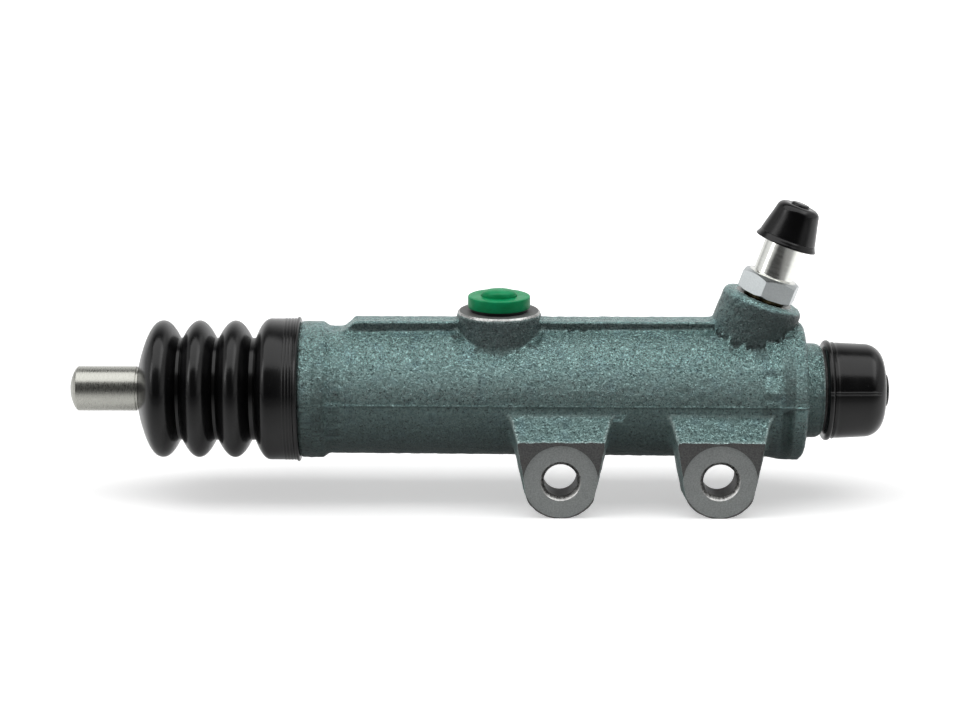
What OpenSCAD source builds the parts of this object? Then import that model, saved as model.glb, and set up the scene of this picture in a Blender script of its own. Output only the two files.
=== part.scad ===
// Clutch slave cylinder: a cast barrel on two bolt ears, a push rod in a ribbed
// dust boot at one end, and a leaning bleeder and a capped screw plug at the other.
// Origin: middle of the two bolt holes, on the back face of the ears.
// +X runs along the bore towards the rear cap, +Z is up, and the ears face -Y.

/* [Mounting ears] */
// Distance between the two bolt holes
hole_pitch = 40; // [37:0.5:46]
// Diameter of each bolt hole
hole_d = 8.5; // [8:0.1:10]
// Thickness of each ear
ear_t = 8; // [6:0.5:10]
// Radius of each ear's lower corners around its bolt hole
ear_r = 10.1; // [9.7:0.1:11]
// Width of each ear's front face at the height of its bolt hole
ear_waist_w = 18; // [17:0.1:19.5]
// Distance from a bolt hole down to the ear's flat end
ear_drop = 9.6; // [8.8:0.1:10]
// Width of the ear along the top edge of its front face
ear_face_w = 21.3; // [19:0.1:23]
// Distance from the bore's axis down to the top edge of the ear's front face
ear_face_drop = 8.4; // [7.9:0.1:8.8]
// Width of the ear where its sloping top leaves the barrel
ear_root_w = 26; // [24:0.1:28]
// Growth of the ear's side walls from its front face to its back face
ear_draft = 1.2; // [0.5:0.1:1.5]
// Diameter of the spot face around each bolt hole
spot_face_d = 18; // [15:0.5:19]
// Depth of the spot face
spot_face_depth = 0.3; // [0.1:0.1:0.6]
// Height of the milled mounting face above the bolt holes
pad_reach = 3.9; // [3:0.1:4.2]
// Step from the milled mounting face to the cast surface above it
pad_step = 0.5; // [0.3:0.1:1]

/* [Barrel] */
// Height of the bore's axis above the bolt holes
axis_height = 18.5; // [18:0.5:22]
// Distance of the bore's axis behind the ears' back face
axis_setback = 12; // [11:0.5:13]
// Diameter of the bore
bore_d = 22.22; // [20:0.01:24]
// Wall of the barrel at its front end
barrel_wall = 5.2; // [4.5:0.1:6]
// Growth of the barrel's radius from front to rear, the draft of the casting
barrel_draft = 0.8; // [0:0.1:1.2]
// Distance from the middle of the bolt holes to the open front end
front_reach = 94.6; // [91:0.2:104]
// Length of the turned spigot that carries the boot
spigot_len = 8.8; // [8.4:0.1:12]
// Wall of the spigot
spigot_wall = 4.4; // [4:0.1:5]
// Depth of the boot's groove in the spigot
boot_groove_depth = 1.1; // [0.6:0.1:1.5]
// Length of the collar behind the boot
collar_len = 5.8; // [4:0.1:8]
// Height of the collar over the barrel
collar_step = 1.1; // [0.5:0.1:2]
// Distance from the middle of the bolt holes to the rear flange's back face
flange_reach = 41.9; // [40:0.1:46]
// Thickness of the rear flange
flange_t = 6.4; // [4:0.1:8]
// Height of the rear flange over the barrel
flange_step = 0.7; // [0.4:0.1:2]
// Length of the painted neck behind the flange
neck_len = 5; // [4:0.1:8]
// Diameter of the painted neck
neck_d = 24.2; // [23:0.1:26]
// Diameter of the turned rear end under the rubber cap
rear_spigot_d = 20.8; // [20:0.1:21.6]
// Length of the turned rear end
rear_spigot_len = 7.1; // [5:0.1:8]

/* [Rib and bosses] */
// Height of the rib's top above the bore's axis
rib_height = 18.7; // [18.2:0.1:21]
// Width of the rib
rib_w = 5.8; // [4:0.1:8]
// Length of barrel that stays bare between the collar and the rib
rib_setback = 5.3; // [4:0.1:8]
// Distance of the inlet ahead of the middle of the bolt holes
inlet_reach = 35.4; // [33:0.1:38]
// Height of the inlet's machined face above the bore's axis
inlet_height = 20.85; // [20:0.1:24]
// Diameter of the inlet boss at its machined face
inlet_boss_d = 20.9; // [19:0.1:23]
// Diameter of the inlet port
inlet_port_d = 11; // [10:0.1:12]
// Diameter of the drilling from the inlet port into the bore
inlet_drill_d = 4; // [3:0.1:5]
// Lean of the bleeder from the vertical, towards the rear
bleeder_lean = 19.5; // [12:0.5:24]
// Distance from the middle of the bolt holes to where the bleeder's axis meets the bore's
bleeder_reach = 23.2; // [22:0.1:24]
// Diameter of the bleeder boss
bleeder_boss_d = 20.7; // [19:0.1:22]
// Length of the bleeder boss from the bore's axis to its top
bleeder_boss_len = 25.8; // [24:0.1:30]
// Rounding of the bleeder boss's top edge
bleeder_boss_round = 1.6; // [0.5:0.1:2.5]

/* [Bleeder] */
// Thread diameter of the bleeder screw
bleeder_thread_d = 12; // [10:0.5:12.5]
// Size across the flats of the bleeder's hexagon
bleeder_hex = 14; // [13:0.5:16]
// Height of the hexagon
bleeder_hex_h = 5.2; // [4:0.1:7]
// Gap between the boss and the hexagon with the screw closed
bleeder_hex_gap = 0.9; // [0.8:0.1:3]
// Diameter of the hose nipple
nipple_d = 10.2; // [9:0.1:11]
// Length of the hose nipple above the hexagon
nipple_len = 17.8; // [15:0.1:22]
// Length of the nipple that shows below its cap
nipple_bare = 9; // [7:0.1:10]
// Diameter of the bleeder cap at its lip
bleeder_cap_d = 15.8; // [14:0.1:17]
// Diameter of the bleeder cap at its top
bleeder_cap_top_d = 11.2; // [10:0.1:12.5]
// Wall over the end of the nipple in the bleeder cap
bleeder_cap_roof = 1.2; // [1:0.1:3]

/* [Inlet plug] */
// Diameter of the plug's flange
plug_flange_d = 15.8; // [14:0.1:18]
// Thickness of the plug's flange
plug_flange_t = 3; // [2:0.1:4]
// Thickness of the rubber ring under the flange
plug_ring_t = 0.75; // [0.5:0.05:1.5]
// Diameter of the dished middle of the plug
plug_dish_d = 8.6; // [7:0.1:9.5]
// Depth that the plug reaches into the port
plug_depth = 4.6; // [3:0.1:5]

/* [Dust boot] */
// Number of folds
boot_folds = 3; // [2:1:4]
// Distance from one fold to the next
boot_pitch = 9.15; // [8:0.05:10]
// Diameter over the folds
boot_peak_d = 35; // [32:0.1:37]
// Diameter in the valleys
boot_valley_d = 26.2; // [24:0.1:28]
// Wall of the boot
boot_wall = 1.7; // [1.2:0.1:2.2]
// Length of the smooth cuff
boot_cuff_len = 7.4; // [7:0.1:8.2]
// Wall of the cuff over the spigot
boot_cuff_wall = 2.55; // [2:0.05:3]
// Height of the lip at the cuff's edge
boot_lip = 0.4; // [0.2:0.1:0.8]
// Diameter of the boot's flat nose around the rod
boot_nose_d = 13; // [12.5:0.1:20]
// Thickness of the nose
boot_nose_t = 3.4; // [2.4:0.1:4]

/* [Push rod and piston] */
// Diameter of the push rod
rod_d = 11.4; // [10:0.1:12]
// Length of rod that shows ahead of the boot
rod_bare = 17; // [12:0.1:30]
// Travel of the piston from its stop into the bore
stroke = 18; // [10:0.5:18]
// Distance of the snap ring inside the open end
ring_inset = 5.4; // [4:0.1:6]
// Thickness of the snap ring
ring_t = 1.2; // [1:0.1:1.5]
// Thickness of the stop washer
stop_t = 1.2; // [1:0.1:2]
// Length of the piston
piston_len = 23.6; // [20:0.1:23.6]
// Depth of the rod's socket in the piston
socket_depth = 12; // [8:0.1:14]
// Length of the main cup
cup_len = 6.6; // [5:0.1:7]
// Thickness of the washer between the piston and the main cup
cup_washer_t = 0.5; // [0.3:0.1:1]
// Wire diameter of the return spring
wire_d = 1.6; // [1.2:0.1:2]
// Outer diameter of the return spring
spring_d = 16.6; // [14:0.1:16.6]
// Number of turns of the return spring
spring_turns = 11; // [8:1:14]

/* [Rear plug and cap] */
// Thread diameter of the rear plug
rear_plug_d = 16; // [14:0.5:16]
// Size across the flats of the rear plug's head
rear_plug_hex = 17; // [16:0.5:17]
// Height of the rear plug's head
rear_plug_head = 4.4; // [3:0.1:6]
// Thickness of the rear plug's sealing washer
rear_washer_t = 1.2; // [0.8:0.1:2]
// Wall of the rubber cap
rear_cap_wall = 1.8; // [1.4:0.1:2.2]
// Height of the lip around the rubber cap's mouth
rear_cap_lip = 0.6; // [0.3:0.1:1]
// Gap between the painted neck and the rubber cap's mouth
rear_cap_gap = 0.6; // [0.1:0.1:1.5]
// Rounding of the rubber cap's end
rear_cap_round = 4.9; // [2:0.1:5.5]
// Diameter of the moulding boss on the rubber cap's end
rear_cap_pip_d = 8.6; // [6:0.1:10]

/* [Hidden] */
$fn = 64;

// Radial clearance of a piece that slides or turns in another
run_gap = 0.05;
// Clearance between faces that rest on each other
seat_gap = 0.05;
// Small overshoot of a cutting tool
cut = 0.5;
// Thickness of the thin slices that an ear is drawn through
slice = 0.01;

bore_r = bore_d / 2;
barrel_r = bore_r + barrel_wall;
barrel_rear_r = barrel_r + barrel_draft;
collar_r = barrel_r + collar_step;
flange_r = barrel_rear_r + flange_step;
spigot_r = bore_r + spigot_wall;
neck_r = neck_d / 2;
rear_spigot_r = rear_spigot_d / 2;
rod_r = rod_d / 2;

// Stations along the bore, counted from the middle of the bolt holes
body_front_x = -front_reach;
collar_x = body_front_x + spigot_len;
barrel_x = collar_x + collar_len;
collar_slope = 1.3;
flange_x = flange_reach - flange_t;
neck_end_x = flange_reach + neck_len;
body_end_x = neck_end_x + rear_spigot_len;
groove_x = body_front_x + 3.2;
groove_w = 2.6;

// Inside of the bore
rear_plug_r = rear_plug_d / 2;
rear_drill_r = 6;
plug_hole_setback = 2.7;
plug_hole_x = flange_reach - plug_hole_setback;
rear_drill_len = 9.2;
bore_end_x = plug_hole_x - rear_drill_len;
snap_ring_x = body_front_x + ring_inset;
snap_groove_depth = 0.7;
stop_x = snap_ring_x + ring_t + seat_gap;
piston_x = stop_x + stop_t + seat_gap;
piston_end_x = piston_x + piston_len;

// Bleeder, as distances along its own axis from the bore's axis
bleeder_seat_x = 14.3;
bleeder_seat_r = 1.5;
bleeder_thread_r = bleeder_thread_d / 2;
bleeder_hex_x = bleeder_boss_len + bleeder_hex_gap;
nipple_x = bleeder_hex_x + bleeder_hex_h;
nipple_end_x = nipple_x + nipple_len;
nipple_r = nipple_d / 2;
nipple_tip_r = nipple_r - 1.5;
nipple_tip_len = 3.3;
bleeder_cap_x = nipple_x + nipple_bare;
bleeder_hex_turn = 13;

// Inlet
inlet_floor = bore_r + 1.5;
inlet_boss_r = inlet_boss_d / 2;
inlet_port_r = inlet_port_d / 2;

// Boot, from its rear edge to its nose
boot_end_x = collar_x - seat_gap;
boot_cuff_x = boot_end_x - boot_cuff_len;
boot_cuff_run = 4.1;
boot_valley_flat = 1.4;
boot_fold_flat = 0.75;
boot_fold_run = (boot_pitch - boot_fold_flat) / 2;
boot_valley_x = boot_cuff_x - boot_cuff_run - boot_valley_flat / 2;
boot_last_peak_x = boot_valley_x - boot_pitch / 2;
boot_first_peak_x = boot_last_peak_x - (boot_folds - 1) * boot_pitch;
boot_nose_run = 6.9;
boot_nose_x = boot_first_peak_x - boot_nose_run;
boot_cuff_r = spigot_r + boot_cuff_wall;
boot_peak_r = boot_peak_d / 2;
boot_valley_r = boot_valley_d / 2;
boot_nose_r = boot_nose_d / 2;
rod_groove_x = boot_nose_x - seat_gap;
rod_groove_w = boot_nose_t / 2;
rod_groove_depth = 0.5;
rod_tip_x = boot_nose_x - rod_bare;
rod_end_x = piston_x + socket_depth - seat_gap;

// Puts children that are drawn around +Z on the bore's axis, along +X
module on_bore() {
    translate([0, axis_setback, axis_height]) rotate([0, 90, 0]) children();
}

// Puts children that are drawn around +Z on the bleeder's leaning axis
module on_bleeder() {
    translate([bleeder_reach, axis_setback, axis_height]) rotate([0, bleeder_lean, 0]) children();
}

// Puts children that are drawn around +Z on the inlet's upright axis
module on_inlet() {
    translate([-inlet_reach, axis_setback, axis_height]) children();
}

// Hexagonal prism around +Z with both of its rims chamfered
module chamfered_hex(flats, height, chamfer) {
    corner_r = flats / 2 / cos(30);
    intersection() {
        cylinder(h = height, r = corner_r, $fn = 6);
        rotate_extrude() polygon([
            [0, 0], [corner_r - chamfer, 0], [corner_r, chamfer * 0.58],
            [corner_r, height - chamfer * 0.58], [corner_r - chamfer, height], [0, height]]);
    }
}

// Outside of the turned and cast barrel, from the boot's spigot to the rear end
module barrel_outside() {
    neck_round = neck_r - rear_spigot_r;
    on_bore() rotate_extrude($fn = 96) {
        polygon([
            [0, body_front_x], [spigot_r - 0.6, body_front_x], [spigot_r, body_front_x + 0.6],
            [spigot_r, collar_x], [collar_r - 0.4, collar_x], [collar_r, collar_x + 0.4],
            [collar_r, barrel_x], [barrel_r, barrel_x + collar_slope],
            [barrel_rear_r, flange_x - 1.2], [flange_r - 0.2, flange_x], [flange_r, flange_x + 0.4],
            [flange_r, flange_reach - 0.8], [flange_r - 0.8, flange_reach], [neck_r, flange_reach],
            [neck_r, neck_end_x - neck_round], [rear_spigot_r, neck_end_x - neck_round],
            [rear_spigot_r, body_end_x - 0.6],
            [rear_spigot_r - 0.6, body_end_x], [0, body_end_x]]);
        translate([rear_spigot_r, neck_end_x - neck_round]) circle(neck_round, $fn = 32);
    }
}

// Everything that is bored, turned or threaded inside the barrel
module bore_inside() {
    on_bore() rotate_extrude($fn = 96) polygon([
        [0, body_front_x - cut], [bore_r + 1 + cut, body_front_x - cut], [bore_r, body_front_x + 1],
        [bore_r, snap_ring_x - seat_gap], [bore_r + snap_groove_depth, snap_ring_x - seat_gap],
        [bore_r + snap_groove_depth, snap_ring_x + ring_t + seat_gap / 2],
        [bore_r, snap_ring_x + ring_t + seat_gap / 2],
        [bore_r, bore_end_x], [rear_drill_r, bore_end_x], [rear_drill_r, plug_hole_x],
        [rear_plug_r, plug_hole_x], [rear_plug_r, body_end_x + cut], [0, body_end_x + cut]]);
}

// Groove that holds the boot's inner bead
module boot_groove() {
    on_bore() rotate_extrude($fn = 96) polygon([
        [spigot_r - boot_groove_depth, groove_x], [spigot_r + cut, groove_x],
        [spigot_r + cut, groove_x + groove_w], [spigot_r - boot_groove_depth, groove_x + groove_w]]);
}

// Rib along the top, from behind the collar to the bleeder boss
module top_rib() {
    rib_x = barrel_x + rib_setback;
    rise = 2.8;
    root = bore_r + 2;
    translate([0, axis_setback + rib_w / 2, axis_height]) rotate([90, 0, 0]) linear_extrude(rib_w)
        polygon([
            [rib_x - rise * 0.4, root], [rib_x, barrel_r - 0.2], [rib_x + rise, rib_height],
            [bleeder_reach, rib_height], [bleeder_reach, root]]);
}

// Tapered boss of the fluid inlet
module inlet_boss() {
    foot = 6;
    on_inlet() rotate_extrude($fn = 96) polygon([
        [0, foot], [inlet_boss_r + 0.9, foot], [inlet_boss_r, inlet_height - 0.4],
        [inlet_boss_r - 0.4, inlet_height], [0, inlet_height]]);
}

// Round-topped leaning boss of the bleeder
module bleeder_boss() {
    foot = 5;
    r = bleeder_boss_d / 2;
    round_r = bleeder_boss_round;
    on_bleeder() rotate_extrude($fn = 96) {
        polygon([
            [0, foot], [r + 0.4, foot], [r, bleeder_boss_len - round_r],
            [r - round_r, bleeder_boss_len], [0, bleeder_boss_len]]);
        translate([r - round_r, bleeder_boss_len - round_r]) circle(round_r, $fn = 32);
    }
}

// One slice of an ear: straight sides that widen upwards, rounded lower corners and
// a flat end, grown by a draft
module ear_slice(face_y, top_z, top_w, grow) {
    waist = ear_waist_w / 2 + grow;
    top = top_w / 2 + grow;
    end = waist - (top - waist) * ear_drop / top_z;
    translate([0, face_y, 0]) rotate([90, 0, 0]) linear_extrude(slice) intersection() {
        polygon([[-end, -ear_drop], [end, -ear_drop], [top, top_z], [-top, top_z]]);
        union() {
            circle(ear_r + grow, $fn = 64);
            translate([-top, 0]) square([2 * top, top_z]);
        }
    }
}

// Drafted ear with a sloping top that runs up into the barrel's side.
// Its back is milled as far up as a bolted pad can reach under the barrel
module ear() {
    root_drop = 1.5;
    root_z = axis_height - root_drop;
    root_y = axis_setback - sqrt(pow(barrel_r, 2) - pow(root_drop, 2));
    difference() {
        hull() {
            ear_slice(slice - ear_t, axis_height - ear_face_drop, ear_face_w, 0);
            ear_slice(0, root_z, ear_root_w, ear_draft);
            translate([-ear_root_w / 2, root_y, root_z - slice]) cube([ear_root_w, -root_y, slice]);
        }
        translate([-ear_root_w, -pad_step, pad_reach]) cube([2 * ear_root_w, pad_step + cut, root_z]);
    }
}

// Bolt hole with a chamfered mouth in a shallow spot face
module ear_hole() {
    mouth = 0.5;
    translate([0, cut, 0]) rotate([90, 0, 0]) cylinder(h = ear_t + 2 * cut, d = hole_d);
    translate([0, spot_face_depth - ear_t, 0]) rotate([90, 0, 0]) cylinder(h = 2 * cut, d = spot_face_d);
    translate([0, spot_face_depth - ear_t + mouth, 0]) rotate([90, 0, 0])
        cylinder(h = mouth, d1 = hole_d, d2 = hole_d + 2 * mouth);
}

// Inlet port with its short drilling into the bore
module inlet_bores() {
    on_inlet() {
        translate([0, 0, inlet_floor]) cylinder(h = inlet_height, d = inlet_port_d);
        cylinder(h = inlet_height, d = inlet_drill_d);
        translate([0, 0, inlet_height - 0.5]) cylinder(h = 1, r1 = inlet_port_r, r2 = inlet_port_r + 1);
    }
}

// Threaded hole, seat and drilling of the bleeder
module bleeder_bores() {
    mouth = 0.8;
    on_bleeder() rotate_extrude($fn = 96) polygon([
        [0, bore_r / 2], [bleeder_seat_r, bore_r / 2], [bleeder_seat_r, bleeder_seat_x],
        [bleeder_thread_r, bleeder_seat_x + bleeder_thread_r - bleeder_seat_r],
        [bleeder_thread_r, bleeder_boss_len - mouth],
        [bleeder_thread_r + mouth, bleeder_boss_len], [bleeder_thread_r + mouth, bleeder_boss_len + cut],
        [0, bleeder_boss_len + cut]]);
}

// Cast body with all of its machining
module cylinder_body() {
    color([0.38, 0.48, 0.47]) difference() {
        union() {
            barrel_outside();
            top_rib();
            inlet_boss();
            bleeder_boss();
            for (side = [-1, 1]) translate([side * hole_pitch / 2, 0, 0]) ear();
        }
        bore_inside();
        boot_groove();
        inlet_bores();
        bleeder_bores();
        for (side = [-1, 1]) translate([side * hole_pitch / 2, 0, 0]) ear_hole();
    }
}

// Radius on a round shoulder that falls from one radius to another over a run
function shoulder(top_r, foot_r, away, run, power) =
    top_r - (top_r - foot_r) * pow(max(0, min(1, away / run)), power);

// Outer radius of the boot at a station between its nose and its cuff
function boot_outer(x) =
    let (fold = min(boot_folds - 1, max(0, round((x - boot_first_peak_x) / boot_pitch))))
    let (peak_x = boot_first_peak_x + fold * boot_pitch)
    x < boot_first_peak_x
        ? shoulder(boot_peak_r, boot_nose_r, boot_first_peak_x - x, boot_nose_run, 2.3)
    : x < boot_valley_x
        ? shoulder(boot_peak_r, boot_valley_r, abs(x - peak_x), boot_fold_run, 2)
    : shoulder(boot_cuff_r, boot_valley_r, boot_cuff_x - x, boot_cuff_run, 2.3);

// Ribbed rubber boot, from the nose that grips the rod to the cuff on the spigot
module dust_boot() {
    steps = 12;
    fold_step = boot_pitch / steps;
    outer = [for (x = [boot_nose_x : fold_step : boot_cuff_x - fold_step / 2]) [boot_outer(x), x]];
    inner = [for (p = outer) if (p[1] > boot_nose_x + boot_nose_t && p[1] < body_front_x - boot_wall)
        [max(p[0] - boot_wall, rod_r + 1), p[1]]];
    back = len(inner) - 1;
    bead = boot_groove_depth - run_gap;
    cuff_in = spigot_r + run_gap;
    color([0.13, 0.13, 0.14]) on_bore() rotate_extrude($fn = 96) polygon(concat(
        outer,
        [[boot_cuff_r, boot_cuff_x], [boot_cuff_r, boot_end_x - 1],
            [boot_cuff_r + boot_lip, boot_end_x - 0.5], [boot_cuff_r - 0.3, boot_end_x],
            [cuff_in, boot_end_x], [cuff_in, groove_x + groove_w - run_gap],
            [cuff_in - bead, groove_x + groove_w - run_gap], [cuff_in - bead, groove_x + run_gap],
            [cuff_in, groove_x + run_gap], [cuff_in, body_front_x - seat_gap],
            [inner[back][0], body_front_x - seat_gap]],
        [for (i = [back : -1 : 0]) inner[i]],
        [[rod_r + 1, boot_nose_x + boot_nose_t], [rod_r + run_gap, boot_nose_x + boot_nose_t],
            [rod_r + run_gap, rod_groove_x + rod_groove_w - run_gap],
            [rod_r + run_gap - rod_groove_depth, rod_groove_x + rod_groove_w - run_gap],
            [rod_r + run_gap - rod_groove_depth, boot_nose_x]]));
}

// Steel rod with a domed tip, a groove for the boot and a round inner end
module push_rod() {
    dome_r = 1.75 * rod_r;
    tip_r = rod_r - 2;
    color([0.78, 0.78, 0.76]) on_bore() difference() {
        union() {
            intersection() {
                translate([0, 0, rod_tip_x]) cylinder(h = dome_r, r = rod_r);
                translate([0, 0, rod_tip_x + dome_r]) sphere(dome_r);
                translate([0, 0, rod_tip_x]) cylinder(h = dome_r, r1 = tip_r, r2 = tip_r + dome_r);
            }
            translate([0, 0, rod_tip_x + dome_r / 2])
                cylinder(h = rod_end_x - rod_tip_x - dome_r / 2 - rod_r, r = rod_r);
            translate([0, 0, rod_end_x - rod_r]) sphere(rod_r);
        }
        rotate_extrude() polygon([
            [rod_r - rod_groove_depth, rod_groove_x], [rod_r + cut, rod_groove_x],
            [rod_r + cut, rod_groove_x + rod_groove_w], [rod_r - rod_groove_depth, rod_groove_x + rod_groove_w]]);
    }
}

piston_r = bore_r - run_gap;
piston_land = 5.4;
seal_groove_w = 4;
seal_groove_r = piston_r - 2.6;
piston_waist_r = piston_r - 2;
piston_rear_land = 4;

// Waisted piston with a seal groove and a round-bottomed socket for the rod
module piston() {
    socket_r = rod_r + 0.35;
    seal_end = piston_x + piston_land + seal_groove_w;
    color([0.72, 0.73, 0.75]) on_bore() difference() {
        rotate_extrude($fn = 96) polygon([
            [0, piston_x], [piston_r - 0.6, piston_x], [piston_r, piston_x + 0.6],
            [piston_r, piston_x + piston_land], [seal_groove_r, piston_x + piston_land],
            [seal_groove_r, seal_end], [piston_r, seal_end], [piston_r, seal_end + 2.6],
            [piston_waist_r, seal_end + 4], [piston_waist_r, piston_end_x - piston_rear_land - 1.4],
            [piston_r, piston_end_x - piston_rear_land], [piston_r, piston_end_x - 0.3],
            [piston_r - 0.3, piston_end_x], [0, piston_end_x]]);
        translate([0, 0, piston_x - cut]) cylinder(h = socket_depth + cut - rod_r, r = socket_r);
        translate([0, 0, piston_x - cut]) cylinder(h = 2 * cut + 0.5, r1 = socket_r + 1.2, r2 = socket_r);
        translate([0, 0, piston_x + socket_depth - rod_r]) sphere(rod_r);
        translate([0, 0, piston_x + socket_depth - rod_r - 0.4]) cylinder(h = 0.8, r = socket_r);
    }
}

// Seal ring in the piston's front groove, with one lip towards the fluid
module secondary_cup() {
    x = piston_x + piston_land + run_gap;
    w = seal_groove_w - 2 * run_gap;
    color([0.1, 0.1, 0.1]) on_bore() rotate_extrude($fn = 96) polygon([
        [seal_groove_r + run_gap, x], [piston_r - 0.5, x], [piston_r - 0.1, x + w * 0.5],
        [piston_r, x + w], [piston_r - 1, x + w], [seal_groove_r + 1.1, x + w * 0.45],
        [seal_groove_r + run_gap, x + w * 0.45]]);
}

cup_washer_x = piston_end_x + seat_gap;
cup_x = cup_washer_x + cup_washer_t + seat_gap;
cup_floor_x = cup_x + 2.4;
cup_hollow_r = piston_r - 2.2;

// Thin washer that backs the main cup
module cup_washer() {
    color([0.65, 0.66, 0.68]) on_bore() rotate_extrude($fn = 96)
        translate([3, cup_washer_x]) square([piston_r - 3.4, cup_washer_t]);
}

// Main rubber cup, open towards the fluid
module primary_cup() {
    color([0.1, 0.1, 0.1]) on_bore() rotate_extrude($fn = 96) polygon([
        [0, cup_x], [piston_r - 0.7, cup_x], [piston_r - 0.1, cup_x + 1.5],
        [piston_r, cup_x + cup_len], [piston_r - 1, cup_x + cup_len],
        [cup_hollow_r, cup_floor_x + 1.4], [cup_hollow_r - 0.4, cup_floor_x], [0, cup_floor_x]]);
}

spring_r = (spring_d - wire_d) / 2;
seat_x = cup_floor_x + seat_gap;
seat_flange_t = 1;
seat_hub_h = 3.8;
spring_x = seat_x + seat_flange_t + seat_gap;

// Pressed seat that centres the spring in the cup
module spring_seat() {
    hub_r = spring_r - wire_d / 2 - 0.2;
    hub_x = seat_x + seat_flange_t;
    color([0.7, 0.7, 0.68]) on_bore() rotate_extrude($fn = 96) polygon([
        [1.5, seat_x], [spring_d / 2, seat_x], [spring_d / 2, hub_x], [hub_r, hub_x],
        [hub_r - 0.5, hub_x + seat_hub_h - 0.6], [hub_r - 1.8, hub_x + seat_hub_h],
        [1.5, hub_x + seat_hub_h]]);
}

// Station of the spring's wire after a number of turns, with closed end turns
function spring_rise(turn, length) =
    turn < 1 ? turn * wire_d
    : turn > spring_turns - 1 ? length - (spring_turns - turn) * wire_d
    : wire_d + (turn - 1) * (length - 2 * wire_d) / (spring_turns - 2);

// Return spring, one closed tube swept along its helix
module return_spring() {
    sides = 8;
    per_turn = 16;
    last = spring_turns * per_turn;
    // The path runs between the wire's middle at each end
    length = bore_end_x - seat_gap - spring_x - wire_d;
    points = [for (i = [0 : last], k = [0 : sides - 1])
        let (a = 360 * i / per_turn, b = 360 * k / sides)
        let (r = spring_r + wire_d / 2 * cos(b))
        [r * cos(a), r * sin(a), spring_x + wire_d / 2 + spring_rise(i / per_turn, length) + wire_d / 2 * sin(b)]];
    walls = [for (i = [0 : last - 1], k = [0 : sides - 1])
        let (n = (k + 1) % sides)
        [i * sides + k, (i + 1) * sides + k, (i + 1) * sides + n, i * sides + n]];
    ends = [[for (k = [0 : sides - 1]) k], [for (k = [sides - 1 : -1 : 0]) last * sides + k]];
    color([0.6, 0.6, 0.58]) on_bore() polyhedron(points, concat(walls, ends), convexity = 10);
}

// Flat washer that stops the piston
module stop_washer() {
    color([0.62, 0.62, 0.62]) on_bore() translate([0, 0, stop_x]) difference() {
        cylinder(h = stop_t, r = bore_r - run_gap);
        translate([0, 0, -cut]) cylinder(h = stop_t + 2 * cut, r = rod_r + 1.6);
    }
}

// Open snap ring with two eyes for its pliers
module snap_ring() {
    out_r = bore_r + snap_groove_depth - run_gap;
    in_r = bore_r - 1.5;
    eye_r = 1.6;
    eye_angle = 17;
    color([0.35, 0.35, 0.36]) on_bore() translate([0, 0, snap_ring_x]) linear_extrude(ring_t) difference() {
        union() {
            difference() {
                circle(out_r);
                circle(in_r);
                polygon([[0, 0], [2 * out_r, 2 * out_r * tan(eye_angle)],
                    [2 * out_r, -2 * out_r * tan(eye_angle)]]);
            }
            for (side = [-1, 1]) rotate(side * eye_angle * 1.3) translate([in_r - eye_r * 0.3, 0]) circle(eye_r);
        }
        for (side = [-1, 1]) rotate(side * eye_angle * 1.3) translate([in_r - eye_r * 0.3, 0])
            circle(eye_r * 0.5, $fn = 16);
    }
}

// Coned brass seat for the pipe's flare, at the bottom of the inlet port
module inlet_seat() {
    stem_r = inlet_drill_d / 2 - run_gap;
    color([0.75, 0.62, 0.3]) on_inlet() rotate_extrude() polygon([
        [1, inlet_floor - 1], [stem_r, inlet_floor - 1], [stem_r, inlet_floor + seat_gap],
        [inlet_port_r - 0.8, inlet_floor + seat_gap], [inlet_port_r - 0.8, inlet_floor + 0.8],
        [1.6, inlet_floor + 2.8], [1, inlet_floor + 2.8]]);
}

plug_ring_z = inlet_height + seat_gap;
plug_z = plug_ring_z + plug_ring_t + seat_gap;

// Moulded transit plug with a dished middle and a hollow shank
module inlet_plug() {
    dish_r = plug_dish_d / 2;
    shank_r = inlet_port_r - run_gap;
    dome_rise = 2.6;
    dish_depth = 1;
    dome_r = (pow(dish_r - 0.3, 2) + pow(dome_rise, 2)) / (2 * dome_rise);
    dish_z = plug_z + plug_flange_t - dish_depth;
    color([0.1, 0.62, 0.4]) on_inlet() {
        difference() {
            union() {
                rotate_extrude($fn = 96) polygon([
                    [0, inlet_height - plug_depth], [shank_r - 0.5, inlet_height - plug_depth],
                    [shank_r, inlet_height - plug_depth + 0.8], [shank_r, plug_z],
                    [plug_flange_d / 2, plug_z], [plug_flange_d / 2, plug_z + plug_flange_t - 0.3],
                    [plug_flange_d / 2 - 0.3, plug_z + plug_flange_t], [0, plug_z + plug_flange_t]]);
            }
            translate([0, 0, dish_z]) cylinder(h = dish_depth + cut, r = dish_r);
            translate([0, 0, inlet_height - plug_depth - cut])
                cylinder(h = plug_depth - 0.5 + cut, r = shank_r - 1.6);
        }
        intersection() {
            translate([0, 0, dish_z - 0.2]) cylinder(h = dome_rise + 1, r = dish_r - 0.3);
            translate([0, 0, dish_z + dome_rise - dome_r]) sphere(dome_r);
        }
    }
}

// Rubber ring that seals the plug on the machined face
module inlet_plug_ring() {
    color([0.08, 0.08, 0.08]) on_inlet() translate([0, 0, plug_ring_z]) difference() {
        cylinder(h = plug_ring_t, r = plug_flange_d / 2 - 0.6);
        translate([0, 0, -cut]) cylinder(h = plug_ring_t + 2 * cut, r = inlet_port_r);
    }
}

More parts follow.
